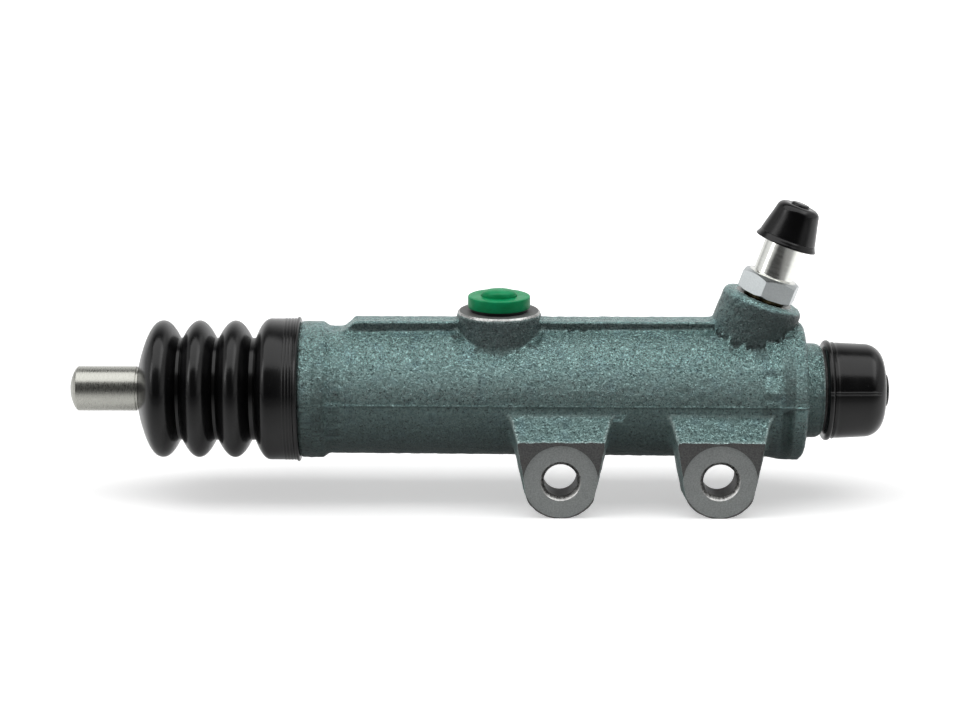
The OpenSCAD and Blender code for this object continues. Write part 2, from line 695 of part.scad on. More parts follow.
// Bleeder screw: coned tip, threaded shank, hexagon and barbed nipple, drilled through
module bleeder_screw() {
    thread_r = bleeder_thread_r - 1.5 * run_gap;
    nose_r = bleeder_thread_r * 0.65;
    tip = bleeder_seat_x + 0.1;
    nose_x = tip + nose_r - bleeder_seat_r + 0.1;
    shank_x = bleeder_seat_x + bleeder_thread_r - bleeder_seat_r + 0.2;
    barb_x = nipple_end_x - 4.3;
    passage_r = 1.5;
    cross_x = (nose_x + shank_x) / 2;
    color([0.82, 0.83, 0.82]) on_bleeder() difference() {
        union() {
            rotate_extrude($fn = 96) polygon([
                [0, tip], [bleeder_seat_r - 0.1, tip], [nose_r, nose_x], [nose_r, shank_x],
                [thread_r, shank_x + 0.4], [thread_r, bleeder_hex_x + cut], [nipple_r, nipple_x - cut],
                [nipple_r, barb_x - 1.8], [nipple_r - 0.9, barb_x - 1.4], [nipple_r - 0.9, barb_x],
                [nipple_r - 0.1, barb_x + 0.4], [nipple_r - 0.1, nipple_end_x - nipple_tip_len],
                [nipple_tip_r, nipple_end_x], [0, nipple_end_x]]);
            translate([0, 0, bleeder_hex_x]) rotate(bleeder_hex_turn)
                chamfered_hex(bleeder_hex, bleeder_hex_h, 1.1);
        }
        translate([0, 0, cross_x]) cylinder(h = nipple_end_x - cross_x + cut, r = passage_r);
        translate([-bleeder_thread_r, 0, cross_x]) rotate([0, 90, 0]) cylinder(h = bleeder_thread_d, r = 1);
    }
}

// Tapered rubber cap over the nipple
module bleeder_cap() {
    lip_r = bleeder_cap_d / 2;
    top_r = bleeder_cap_top_d / 2;
    roof_x = nipple_end_x + seat_gap;
    top_x = roof_x + bleeder_cap_roof;
    edge = 2;
    mouth_r = nipple_r + run_gap;
    color([0.12, 0.12, 0.13]) on_bleeder() difference() {
        rotate_extrude($fn = 96) {
            polygon([
                [0, bleeder_cap_x + 0.5], [lip_r - 0.9, bleeder_cap_x + 0.5], [lip_r, bleeder_cap_x],
                [lip_r - 0.2, bleeder_cap_x + 0.7], [lip_r - 0.5, bleeder_cap_x + 1],
                [top_r, top_x - edge], [top_r - edge, top_x], [2.3, top_x], [1.8, top_x + 0.6],
                [0, top_x + 0.6]]);
            translate([top_r - edge, top_x - edge]) circle(edge, $fn = 32);
        }
        rotate_extrude($fn = 96) polygon([
            [0, bleeder_cap_x - cut], [mouth_r, bleeder_cap_x - cut],
            [mouth_r, roof_x - nipple_tip_len], [nipple_tip_r + 2 * run_gap, roof_x], [0, roof_x]]);
    }
}

rear_washer_x = body_end_x + seat_gap;
rear_head_x = rear_washer_x + rear_washer_t + seat_gap;
rear_head_end_x = rear_head_x + rear_plug_head;

// Hexagon-headed screw plug that closes the bore
module rear_plug() {
    shank_r = rear_plug_r - run_gap;
    color([0.7, 0.71, 0.7]) on_bore() {
        rotate_extrude($fn = 96) polygon([
            [0, plug_hole_x + 1], [shank_r - 1, plug_hole_x + 1], [shank_r, plug_hole_x + 2],
            [shank_r, rear_head_x + cut], [0, rear_head_x + cut]]);
        translate([0, 0, rear_head_x]) chamfered_hex(rear_plug_hex, rear_plug_head, 1.2);
    }
}

// Soft copper washer under the screw plug's head
module rear_plug_washer() {
    color([0.72, 0.45, 0.3]) on_bore() translate([0, 0, rear_washer_x]) difference() {
        cylinder(h = rear_washer_t, r = rear_spigot_r - 0.9);
        translate([0, 0, -cut]) cylinder(h = rear_washer_t + 2 * cut, r = rear_plug_r);
    }
}

// Rubber cap over the screw plug, with a lip around its mouth and a pip on its end
module rear_cap() {
    mouth_x = neck_end_x + rear_cap_gap;
    grip_r = rear_spigot_r + run_gap;
    cap_r = grip_r + rear_cap_wall;
    lip_r = cap_r + rear_cap_lip;
    roof_x = rear_head_end_x + 1;
    end_x = roof_x + 1.2 * rear_cap_wall;
    edge = rear_cap_round;
    taper = 0.35;
    head_r = rear_plug_hex / 2 / cos(30) + 2 * run_gap;
    color([0.12, 0.12, 0.13]) on_bore() difference() {
        rotate_extrude($fn = 96) {
            polygon([
                [0, mouth_x], [lip_r - 0.7, mouth_x], [lip_r, mouth_x + 0.7], [lip_r, mouth_x + 1.6],
                [cap_r, mouth_x + 3], [cap_r - taper, end_x - edge],
                [cap_r - taper - edge, end_x], [rear_cap_pip_d / 2, end_x],
                [rear_cap_pip_d / 2 - 0.8, end_x + 1.2], [0, end_x + 1.3]]);
            translate([cap_r - taper - edge, end_x - edge]) circle(edge, $fn = 48);
        }
        rotate_extrude($fn = 96) polygon([
            [0, mouth_x - cut], [grip_r, mouth_x - cut], [grip_r, rear_head_x + 1],
            [head_r, rear_head_end_x - 0.6], [head_r - 1.6, roof_x], [0, roof_x]]);
    }
}

cylinder_body();
dust_boot();
push_rod();
piston();
secondary_cup();
cup_washer();
primary_cup();
spring_seat();
return_spring();
stop_washer();
snap_ring();
inlet_seat();
inlet_plug();
inlet_plug_ring();
bleeder_screw();
bleeder_cap();
rear_plug();
rear_plug_washer();
rear_cap();
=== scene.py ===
import math

import bpy
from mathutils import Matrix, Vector


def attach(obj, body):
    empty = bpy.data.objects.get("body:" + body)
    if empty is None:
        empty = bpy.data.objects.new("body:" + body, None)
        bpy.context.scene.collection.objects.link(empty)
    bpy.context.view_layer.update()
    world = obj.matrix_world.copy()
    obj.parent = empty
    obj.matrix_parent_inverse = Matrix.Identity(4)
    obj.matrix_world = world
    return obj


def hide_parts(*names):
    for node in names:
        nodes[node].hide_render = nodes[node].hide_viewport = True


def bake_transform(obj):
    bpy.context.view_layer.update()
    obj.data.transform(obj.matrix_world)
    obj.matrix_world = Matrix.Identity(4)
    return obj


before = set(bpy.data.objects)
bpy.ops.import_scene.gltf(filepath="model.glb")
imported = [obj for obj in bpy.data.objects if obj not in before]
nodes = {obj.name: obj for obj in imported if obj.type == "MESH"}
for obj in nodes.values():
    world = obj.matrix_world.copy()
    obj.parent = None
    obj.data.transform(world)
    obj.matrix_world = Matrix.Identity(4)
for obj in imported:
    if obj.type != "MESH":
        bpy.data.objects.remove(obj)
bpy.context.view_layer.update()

MM = 0.001

# These lengths are in millimetres, from the middle of the two bolt holes on the ears' back face.
# The bore's axis runs along +X at this depth and height
AXIS_Y = 12.0
AXIS_Z = 18.5
# Stations along the bore, from the body's front end to its rear end
BODY_FRONT = -94.6
BOOT_GROOVE = -91.4
COLLAR = -85.8
FLANGE_GROOVE = 35.2
NECK_END = 46.9
BODY_END = 54.0
# Radii about the bore's axis
BARREL_R = 17.0
SPIGOT_R = 15.51
BOOT_GROOVE_R = 14.41
BORE_R = 11.11
NECK_R = 10.4
# The inlet stands straight up. Its heights are measured from the bore's axis
INLET_X = -35.4
INLET_FOOT = 6.0
INLET_FACE = 20.85
INLET_BOSS_R = 12.5
PORT_R = 5.5
# The bleeder leans to the rear. Its heights are measured along it, from the bore's axis
BLEEDER_X = 23.2
BLEEDER_LEAN = math.radians(19.5)
BOSS_TOP = 25.8
HEX_FOOT = 26.7
HEX_TOP = 31.9
NIPPLE_TOP = 49.7
# Bolt ears, and the milled pad on their backs
HOLE_PITCH = 40.0
HOLE_R = 4.25
SPOT_FACE_R = 9.35
EAR_FRONT = -8.0
EAR_END = -9.6
EAR_R = 9.75
PAD_TOP = 3.9
# Boot: stations from its nose to the end of its cuff, and its outer radii
BOOT_NOSE = -127.175
BOOT_HOLLOW = -124.425
FIRST_FOLD = -120.925
FOLD_PITCH = 9.15
LAST_VALLEY = -98.05
CUFF = -93.25
BOOT_END = -85.85
FOLD_R = 17.5
VALLEY_R = 13.1
CUFF_R = 18.06


# Handling pieces

def deselect():
    """Leaves edit mode and selects nothing."""
    if bpy.context.object and bpy.context.object.mode != "OBJECT":
        bpy.ops.object.mode_set(mode="OBJECT")
    bpy.ops.object.select_all(action="DESELECT")


def only(obj):
    """Selects one piece and makes it the active one."""
    deselect()
    obj.select_set(True)
    bpy.context.view_layer.objects.active = obj
    return obj


def named(name):
    """Names the piece that was just made, and its mesh."""
    obj = bpy.context.object
    obj.name = name
    obj.data.name = name
    return obj


def edit(obj):
    """Opens a piece in edit mode with all of it selected."""
    only(obj)
    bpy.ops.object.mode_set(mode="EDIT")
    bpy.ops.mesh.select_all(action="SELECT")


def settle(obj):
    """Writes the piece's place and turn into its mesh."""
    only(obj)
    bpy.ops.object.transform_apply(location=True, rotation=True, scale=True)
    return obj


def put(obj, where, turn=(0, 0, 0)):
    """Turns a piece that was drawn around +Z and puts it in its place."""
    obj.rotation_euler = turn
    obj.location = Vector(where) * MM
    return settle(obj)


def on_bore(obj):
    """Lays a piece along the bore. Its heights become stations on +X."""
    return put(obj, (0, AXIS_Y, AXIS_Z), (0, math.radians(90), 0))


def on_inlet(obj):
    """Stands a piece on the inlet's axis."""
    return put(obj, (INLET_X, AXIS_Y, AXIS_Z))


def on_bleeder(obj):
    """Leans a piece over onto the bleeder's axis."""
    return put(obj, (BLEEDER_X, AXIS_Y, AXIS_Z), (0, BLEEDER_LEAN, 0))


def on_hole(obj, side):
    """Lays a piece into the bolt hole on side -1 or 1. Its heights become depths on +Y."""
    return put(obj, (side * HOLE_PITCH / 2, 0, 0), (math.radians(-90), 0, 0))


def from_axis(y, z):
    """How far a point is from the bore's axis."""
    return math.hypot(y - AXIS_Y, z - AXIS_Z)


def nearest_hole(x):
    """Where the bolt hole on this side stands on +X."""
    return math.copysign(HOLE_PITCH / 2, x)


def apply(obj, modifier):
    """Makes a modifier's result the piece's own mesh."""
    only(obj)
    bpy.ops.object.modifier_apply(modifier=modifier.name)
    return obj


def soften(obj, angle=35):
    """Shades a piece smooth, apart from edges that turn by more than this angle."""
    only(obj)
    bpy.ops.object.shade_smooth_by_angle(angle=math.radians(angle))
    return obj


def turned(name, profile, sides=96, closed=False):
    """A turned piece around +Z: a ring, extruded and resized from each (radius, height) to the next."""
    deselect()
    radius, height = profile[0]
    bpy.ops.mesh.primitive_circle_add(vertices=sides, radius=radius * MM, location=(0, 0, height * MM),
                                      fill_type="NOTHING" if closed else "NGON")
    obj = named(name)
    settle(obj)
    edit(obj)
    for next_radius, next_height in profile[1:]:
        step = (0, 0, (next_height - height) * MM)
        if closed:
            bpy.ops.mesh.extrude_edges_move(TRANSFORM_OT_translate={"value": step})
        else:
            bpy.ops.mesh.extrude_region_move(TRANSFORM_OT_translate={"value": step})
        if abs(next_radius - radius) > 1e-6:
            grow = next_radius / radius
            bpy.ops.transform.resize(value=(grow, grow, 1))
        radius, height = next_radius, next_height
    bpy.ops.mesh.select_all(action="SELECT")
    bpy.ops.mesh.remove_doubles(threshold=1e-7)
    bpy.ops.mesh.normals_make_consistent(inside=False)
    bpy.ops.object.mode_set(mode="OBJECT")
    return obj


def arc(radius, height, size, start, end, steps=8):
    """Points of a rounding in a profile, by its middle, its size, and its angles from straight out."""
    angles = [math.radians(start + (end - start) * i / steps) for i in range(steps + 1)]
    return [(radius + size * math.cos(a), height + size * math.sin(a)) for a in angles]


def box(name, low, high):
    """A block between two opposite corners."""
    deselect()
    low, high = Vector(low) * MM, Vector(high) * MM
    bpy.ops.mesh.primitive_cube_add(size=1, location=(low + high) / 2, scale=high - low)
    return settle(named(name))


def combine(obj, other, operation):
    """Unites, cuts or intersects a piece with another, which is used up."""
    made = obj.modifiers.new(operation.title(), "BOOLEAN")
    made.object = other
    made.operation = operation
    made.solver = "MANIFOLD"
    made.material_mode = "TRANSFER"
    apply(obj, made)
    bpy.data.objects.remove(other)
    return obj


def cut_away(obj, cutter, metal):
    """Machines a piece with a cutter. The cut faces take the cutter's own material."""
    cutter.data.materials.append(metal)
    return combine(obj, cutter, "DIFFERENCE")


def lathe(obj, place, metal, profile, closed=False):
    """Cuts a piece with a turned cutter that a placing function lays on its axis."""
    return cut_away(obj, place(turned("cutter", profile, closed=closed)), metal)


def raise_lines(obj, cuts, normal, chosen, height):
    """Cuts a piece's surface along parallel planes, and lifts the chosen points of the cuts."""
    edit(obj)
    for point in cuts:
        bpy.ops.mesh.select_all(action="SELECT")
        bpy.ops.mesh.bisect(plane_co=point, plane_no=normal)
    bpy.ops.mesh.select_all(action="DESELECT")
    bpy.ops.object.mode_set(mode="OBJECT")
    for vertex in obj.data.vertices:
        vertex.select = chosen(vertex.co / MM)
    bpy.ops.object.mode_set(mode="EDIT")
    bpy.ops.transform.shrink_fatten(value=height * MM)
    bpy.ops.object.mode_set(mode="OBJECT")


def join(obj, *others):
    """Joins other meshes to a piece as they are."""
    deselect()
    for other in others:
        other.select_set(True)
    obj.select_set(True)
    bpy.context.view_layer.objects.active = obj
    bpy.ops.object.join()
    return obj


def finished(obj, finish, slot, body, *replaced, angle=35):
    """Gives a new piece its finish and the body that it moves with, and hides the parts that it replaces. Its
    slot is not used.
    """
    if finish:
        obj.data.materials.clear()
        obj.data.materials.append(finish)
    soften(obj, angle)
    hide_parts(*replaced)
    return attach(obj, body)


# Finishes

class Nodes:
    """A node tree with short names for the nodes that it needs."""

    def __init__(self, tree):
        self.tree = tree

    def node(self, kind, links=None, **settings):
        """Adds a node, with its settings, and feeds its sockets."""
        made = self.tree.nodes.new(kind)
        for key, value in settings.items():
            setattr(made, key, value)
        for socket, value in (links or {}).items():
            self.feed(made.inputs[socket], value)
        return made

    def feed(self, socket, value):
        """Links a socket to another node's output, or sets it to a value."""
        if isinstance(value, bpy.types.NodeSocket):
            self.tree.links.new(value, socket)
        else:
            socket.default_value = value

    def span(self, value, low, high, to_low=0.0, to_high=1.0):
        """Carries a value from one range to another, and holds it at the ends."""
        return self.node("ShaderNodeMapRange", {
            "Value": value, "From Min": low, "From Max": high,
            "To Min": to_low, "To Max": to_high}).outputs["Result"]

    def split(self, vector):
        """The X, Y and Z of a vector."""
        return self.node("ShaderNodeSeparateXYZ", {"Vector": vector}).outputs

    def math(self, operation, first, second=0.0):
        made = self.node("ShaderNodeMath", operation=operation)
        self.feed(made.inputs[0], first)
        self.feed(made.inputs[1], second)
        return made.outputs[0]


class Finish(Nodes):
    """A procedural material on Object coordinates."""

    def __init__(self, name):
        self.material = bpy.data.materials.new(name)
        self.material.use_nodes = True
        super().__init__(self.material.node_tree)
        self.shader = self.tree.nodes["Principled BSDF"]
        self.here = self.tree.nodes.new("ShaderNodeTexCoord").outputs["Object"]

    def noise(self, scale, detail=3.0, distortion=0.0, where=None):
        """Noise with this many clouds to the metre, or to the length of stretched marks."""
        return self.node("ShaderNodeTexNoise", {
            "Vector": where or self.here, "Scale": scale, "Detail": detail,
            "Distortion": distortion}).outputs["Fac"]

    def blend(self, share, first, second):
        """The first colour, with this share of the second one over it."""
        made = self.node("ShaderNodeMix", data_type="RGBA")
        self.feed(made.inputs["Factor"], share)
        self.feed(made.inputs["A"], first)
        self.feed(made.inputs["B"], second)
        return made.outputs["Result"]

    def mottled(self, pattern, dark, light, low=0.35, high=0.65):
        """A colour that a pattern takes from dark to light."""
        return self.blend(self.span(pattern, low, high), srgb(*dark), srgb(*light))

    def uneven(self, pattern, low, high):
        """A roughness that a pattern takes from low to high."""
        return self.span(pattern, 0.3, 0.7, low, high)

    def stretched(self, size, turn=(0, 0, 0)):
        """Marks of this size in millimetres, on a piece that is turned like this."""
        return self.node("ShaderNodeMapping", {
            "Vector": self.here, "Rotation": turn, "Scale": [v * MM for v in size]},
            vector_type="TEXTURE").outputs["Vector"]

    def bump(self, height, depth, below=None):
        """Relief of this depth in millimetres, on top of other relief if there is any."""
        links = {"Height": height, "Strength": 1.0, "Distance": depth * MM}
        if below:
            links["Normal"] = below
        return self.node("ShaderNodeBump", links).outputs["Normal"]

    def set(self, **sockets):
        """Feeds the shader's sockets, which are named with _ for a space."""
        for name, value in sockets.items():
            self.feed(self.shader.inputs[name.replace("_", " ")], value)
        return self.material


def srgb(red, green, blue):
    """A colour as it is seen, 0 to 255, in the linear values that a shader takes."""
    def linear(v):
        v /= 255
        return v / 12.92 if v <= 0.04045 else ((v + 0.055) / 1.055) ** 2.4
    return (linear(red), linear(green), linear(blue), 1.0)


def sprayed_paint():
    """Hammered grey-green paint over cast iron, crinkled above the parting line and smoother below. Its
    colour carries painted shade and painted highlights.
    """
    f = Finish("sprayed_paint_on_casting")
    height = f.split(f.here)["Z"]
    facing = f.split(f.node("ShaderNodeTexCoord").outputs["Normal"])["Z"]
    wear_and_highlight_share = f.node("ShaderNodeAttribute", attribute_name="wear_and_highlight").outputs["Fac"]
    # Relief: thin worms, lumps and grain over a slow swell
    upper = f.span(height, (AXIS_Z - 1.5) * MM, (AXIS_Z + 2.5) * MM, 0.45, 1.0)
    veins = f.math("ABSOLUTE", f.math("SUBTRACT", f.noise(900, detail=1.0, distortion=2.4), 0.5))
    worms = f.span(veins, 0.0, 0.05, 1.0, 0.0)
    grain = f.noise(2300, detail=2.0)
    lumps = f.noise(1500, detail=2.0, distortion=0.8)
    swell = f.noise(240, detail=2.0)
    fine = f.math("ADD", lumps, f.math("MULTIPLY", grain, 0.35))
    relief = f.math("ADD", f.math("MULTIPLY", worms, 0.6), fine)
    normal = f.bump(f.math("MULTIPLY", relief, upper), 0.55, f.bump(swell, 0.2))
    # Colour: lighter on the raised lumps, partly painted light on the relief, pale worms that are painted
    # glints along the raised worms, dark pits and bluish clouds
    tone = f.mottled(lumps, (121, 153, 151), (158, 191, 188), 0.38, 0.62)
    pale = f.math("MULTIPLY", worms, f.math("MULTIPLY", upper, 0.42))
    tone = f.blend(pale, tone, srgb(196, 216, 214))
    pits = f.span(f.noise(1900, detail=1.0), 0.31, 0.39, 0.8, 0.0)
    tone = f.blend(pits, tone, srgb(44, 62, 64))
    tone = f.blend(f.span(swell, 0.52, 0.72, 0.0, 0.2), tone, srgb(118, 152, 168))
    # Painted shade: darker on undersides, and on the sides of the rib and the bosses above the barrel
    shade = srgb(26, 34, 35)
    tone = f.blend(f.span(facing, -0.7, 0.6, 0.72, 0.0), tone, shade)
    high = f.span(height, (AXIS_Z + 12.5) * MM, (AXIS_Z + 14) * MM, 0.0, 0.62)
    tone = f.blend(f.math("MULTIPLY", high, f.span(facing, 0.2, 0.5, 1.0, 0.0)), tone, shade)
    # Pale edges in the paint's own colour: partly worn paint, partly a painted highlight on rounded edges
    wear_and_painted_highlight = f.math("MULTIPLY", wear_and_highlight_share, f.span(grain, 0.4, 0.5, 0.3, 1.0))
    tone = f.blend(wear_and_painted_highlight, tone, srgb(212, 236, 233))
    # Metal flakes show where the paint faces up
    flakes = f.span(facing, 0.2, 0.6, 0.04, 0.75)
    dull = f.math("ADD", f.uneven(lumps, 0.16, 0.26), f.span(facing, -0.4, 0.2, 0.25, 0.0))
    return f.set(Base_Color=tone, Metallic=flakes, Roughness=dull, Normal=normal)


def machined_iron(name, dark, light, rough, rust):
    """Cut cast iron, dull with a fine grain and small rust-brown clouds."""
    f = Finish(name)
    grain = f.noise(2600, detail=3.0)
    patch = f.noise(420, detail=2.0)
    tone = f.mottled(grain, dark, light)
    tone = f.blend(f.span(patch, 0.45, 0.7, 0.0, rust), tone, srgb(84, 76, 72))
    return f.set(Base_Color=tone, Metallic=0.3, Roughness=f.uneven(grain, rough - 0.08, rough + 0.1),
                 Normal=f.bump(grain, 0.04))


def moulded_rubber():
    """Black moulded rubber with a soft sheen, faint flow marks and specks of dust."""
    f = Finish("moulded_black_rubber")
    cloud = f.noise(140, detail=3.0)
    pores = f.noise(2400, detail=2.0)
    dust = f.span(f.noise(1700, detail=1.0), 0.74, 0.79, 0.0, 0.3)
    tone = f.mottled(cloud, (9, 9, 10), (15, 15, 16))
    tone = f.blend(dust, tone, srgb(62, 62, 64))
    return f.set(Base_Color=tone, Roughness=f.uneven(cloud, 0.17, 0.25), Specular_IOR_Level=0.36,
                 Normal=f.bump(pores, 0.012))


def ground_steel(name, size, tone, rough, depth, streaks, turn=(0, 0, 0)):
    """Ground steel with marks of this size, whose dark streaks keep this share of the tone."""
    f = Finish(name)
    marks = f.noise(1.0, detail=3.0, where=f.stretched(size, turn))
    stain = f.noise(260, detail=3.0)
    colour = f.mottled(marks, [v * streaks for v in tone], tone)
    colour = f.blend(f.span(stain, 0.5, 0.75, 0.0, 0.12), colour, srgb(*[v * 0.78 for v in tone]))
    return f.set(Base_Color=colour, Metallic=1.0, Roughness=f.uneven(marks, rough - 0.05, rough + 0.07),
                 Normal=f.bump(marks, depth))


def bright_zinc():
    """Zinc plate, even in colour and cloudy in its shine."""
    f = Finish("bright_zinc_plate")
    grain = f.noise(2400, detail=3.0)
    cloud = f.noise(330, detail=2.0)
    tone = f.mottled(grain, (188, 193, 194), (198, 203, 204))
    return f.set(Base_Color=tone, Metallic=1.0, Roughness=f.uneven(cloud, 0.3, 0.36),
                 Normal=f.bump(grain, 0.002))


def green_plastic():
    """Moulded green plastic that lets a little light in."""
    f = Finish("moulded_green_plastic")
    cloud = f.noise(420, detail=2.0)
    grain = f.noise(2600, detail=2.0)
    tone = f.mottled(cloud, (0, 140, 84), (4, 152, 96))
    return f.set(Base_Color=tone, Roughness=f.uneven(grain, 0.34, 0.46), Normal=f.bump(grain, 0.02),
                 Subsurface_Weight=0.06, Subsurface_Scale=0.001, Specular_IOR_Level=0.2)


def plain_metal(name, dark, light, metallic=1.0, rough=0.32):
    """A metal with a fine even grain."""
    f = Finish(name)
    grain = f.noise(1500, detail=3.0)
    tone = f.mottled(grain, dark, light, 0.3, 0.7)
    return f.set(Base_Color=tone, Metallic=metallic, Roughness=f.uneven(grain, rough - 0.06, rough + 0.08),
                 Normal=f.bump(grain, 0.012))


PAINT = sprayed_paint()
MILLED = machined_iron("milled_cast_iron", (84, 85, 85), (112, 112, 111), 0.55, 0.3)
SPOT_FACED = machined_iron("spot_faced_cast_iron", (150, 154, 153), (178, 182, 181), 0.5, 0.06)
DRILLED = machined_iron("drilled_cast_iron", (60, 60, 60), (92, 91, 89), 0.5, 0.2)
RUBBER = moulded_rubber()
ROD_STEEL = ground_steel("ground_rod_steel", (0.2, 1.1, 1.1), tone=(184, 184, 177), rough=0.28,
                         depth=0.0012, streaks=0.93)
NIPPLE_STEEL = ground_steel("turned_zinc_plate", (3.0, 3.0, 0.16), tone=(244, 245, 240), rough=0.18,
                            depth=0.0003, streaks=0.94, turn=(0, BLEEDER_LEAN, 0))
FRESH_CUT = plain_metal("fresh_cut_iron", (150, 150, 148), (206, 206, 204), 0.9, 0.3)
# The thread is coloured near black: painted shade for the dark gap under the hexagon
THREAD_ZINC_IN_PAINTED_SHADE = plain_metal("yellow_zinc_thread_in_painted_shade", (30, 27, 20), (88, 78, 54), rough=0.16)
ZINC = bright_zinc()
GREEN = green_plastic()
PISTON = plain_metal("turned_aluminium", (190, 191, 195), (212, 213, 216))
SPRING = plain_metal("drawn_spring_wire", (120, 120, 118), (160, 160, 156))
PHOSPHATE = plain_metal("phosphated_steel", (52, 52, 54), (78, 78, 80), 0.8, 0.45)
BRASS = plain_metal("turned_brass", (190, 158, 92), (212, 178, 108))
COPPER = plain_metal("soft_copper", (176, 112, 82), (200, 132, 98))


# Cast body

def cast_body():
    """The casting with stock left on it, blended at its corners, then machined as the real one is."""
    body = bpy.data.objects.new("cast_body", nodes["cylinder_body"].data.copy())
    bpy.context.scene.collection.objects.link(body)
    body.data.materials.clear()
    edit(body)
    bpy.ops.mesh.remove_doubles(threshold=1e-6)
    bpy.ops.object.mode_set(mode="OBJECT")
    leave_stock(body)
    voxel = 0.55
    body.data.remesh_voxel_size = voxel * MM
    body.data.remesh_voxel_adaptivity = 0
    only(body)
    bpy.ops.object.voxel_remesh()
    blend_corners(body)
    body.data.materials.clear()
    body.data.materials.append(PAINT)
    flange_groove(body)
    hammer(body)
    parting_line(body)
    machine(body)
    mark_wear_and_highlights(body)
    finished(body, None, "cast_body", "housing", "cylinder_body", angle=42)
    flat_machining(body)
    return body


def leave_stock(body):
    """Fills the bores and leaves the faces proud where the casting is machined later."""
    front_stock, back_stock, ear_fall = 0.7, 0.2, 1.83
    rib_end, rib_side, rib_bevel = -71.9, 3.8, 0.9
    for vertex in body.data.vertices:
        x, y, z = vertex.co / MM
        # The ears' fronts come forward, and their top edges follow the slope
        if y < EAR_FRONT + 0.5:
            vertex.co.y -= front_stock * MM
            if z > 9:
                vertex.co.z -= front_stock * ear_fall * MM
        # The pad on their backs stands proud
        if abs(y) < 0.01 and z < 4:
            vertex.co.y += back_stock * MM
        # The bevel of the rib's front end is filled
        if x < rib_end + 0.9 and abs(y - AXIS_Y + rib_side - rib_bevel) < 0.02 and z > AXIS_Z + 15:
            vertex.co.y -= rib_bevel * MM
    stock = [
        box("stock", (rib_end, AXIS_Y - rib_side, AXIS_Z + 13), (22, AXIS_Y, AXIS_Z + 18.68)),
        on_bore(turned("stock", [(16.4, BODY_FRONT - 2), (16.4, COLLAR + 1.3)])),
        on_bore(turned("stock", [(12.0, BODY_FRONT + 4), (12.0, 45.0)])),
        on_bore(turned("stock", [(11.2, 40.0), (11.2, BODY_END + 0.6)])),
        on_inlet(turned("stock", [(INLET_BOSS_R, INLET_FOOT), (10.4, INLET_FACE + 0.6)])),
        on_bleeder(turned("stock", [(8.2, 5.0), (8.2, BOSS_TOP - 0.05)])),
    ]
    for side in (-1, 1):
        plug = turned("stock", [(6.0, EAR_FRONT - front_stock), (6.0, back_stock)])
        stock.append(on_hole(plug, side))
    join(body, *stock)


def smooth_out(body, passes, group=""):
    """Evens out a mesh, or only the points of a vertex group."""
    smooth = body.modifiers.new("Smooth", "SMOOTH")
    smooth.factor = 0.5
    smooth.iterations = passes
    smooth.vertex_group = group
    apply(body, smooth)


def blend_corners(body):
    """Softens the cast edges, and fills the inner corners where the ears run into the barrel's underside."""
    reach, ears_rise, ears_end = 4, 12, 40
    inner = body.vertex_groups.new(name="inner_corners")
    for vertex in body.data.vertices:
        x, y, z = vertex.co / MM
        gap = abs(from_axis(y, z) - BARREL_R)
        if gap < reach and z < ears_rise and abs(x) < ears_end:
            share = min(1.0, 1.5 - 1.5 * gap / reach) * min(1.0, (ears_rise - z) / reach)
            inner.add([vertex.index], share, "REPLACE")
    smooth_out(body, 36, inner.name)
    body.vertex_groups.clear()
    round_ears(body)
    smooth_out(body, 4)


def round_ears(body):
    """Rounds the ears' lower ends about their holes, and trims what the fill left proud between the ears."""
    proud_r, draft = 16.85, 0.05
    for vertex in body.data.vertices:
        x, y, z = vertex.co / MM
        side = nearest_hole(x)
        out = math.hypot(x - side, z)
        limit = EAR_R + draft * (y - EAR_FRONT)
        deep = from_axis(y, z)
        if -7.2 < x < -2 and 12.5 < z < 17 and y < 0 and deep > proud_r:
            vertex.co.y = (AXIS_Y + (y - AXIS_Y) * proud_r / deep) * MM
        if z < -1 and y < 2 and out > limit:
            vertex.co.x = (side + (x - side) * limit / out) * MM
            vertex.co.z = max(EAR_END, z * limit / out) * MM


def flange_groove(body):
    """The shallow groove round the lower half of the flange, which runs out at its top and its foot."""
    width, depth, top, foot = 3, 1.5, -0.6, -16.5
    for vertex in body.data.vertices:
        x, y, z = vertex.co / MM
        out = from_axis(y, z)
        high = z - AXIS_Z
        if FLANGE_GROOVE < x < FLANGE_GROOVE + width and foot < high < top and out > 16:
            run_out = min(1.0, (top - high) / 1.5, (high - foot) / 4)
            sunk = depth * math.sin(math.pi * (x - FLANGE_GROOVE) / width) * run_out
            vertex.co.y -= sunk * MM * (y - AXIS_Y) / out
            vertex.co.z -= sunk * MM * high / out


def hammer(body):
    """The coarse part of the sprayed texture, pushed into the surface itself."""
    lump_size, lump_height = 1.5, 0.26
    pattern = bpy.data.textures.new("Hammered", "CLOUDS")
    pattern.noise_scale = lump_size * MM
    pattern.noise_depth = 1
    lumps = body.modifiers.new("Hammered", "DISPLACE")
    lumps.texture = pattern
    lumps.texture_coords = "LOCAL"
    lumps.strength = lump_height * MM
    lumps.mid_level = 0.5
    apply(body, lumps)
    # The ears stand on the table, so no lump reaches below them
    for vertex in body.data.vertices:
        vertex.co.z = max(vertex.co.z, EAR_END * MM)


def parting_line(body):
    """A low raised line where the two halves of the mould met, at the height of the bore's axis."""
    def on_line(point):
        x, y, z = point
        return abs(z - AXIS_Z) < 0.13 and -79.5 < x < 42.2 and abs(y - AXIS_Y) > 14

    cuts = [(0, 0, (AXIS_Z + offset) * MM) for offset in (-0.35, -0.12, 0.12, 0.35)]
    raise_lines(body, cuts, (0, 0, 1), on_line, 0.16)


def machine(body):
    """Turning, boring, milling and drilling, in the order in which a shop does them."""
    turn_ends(body)
    bore_out(body)
    machine_inlet(body)
    drill_bleeder(body)
    machine_ears(body)


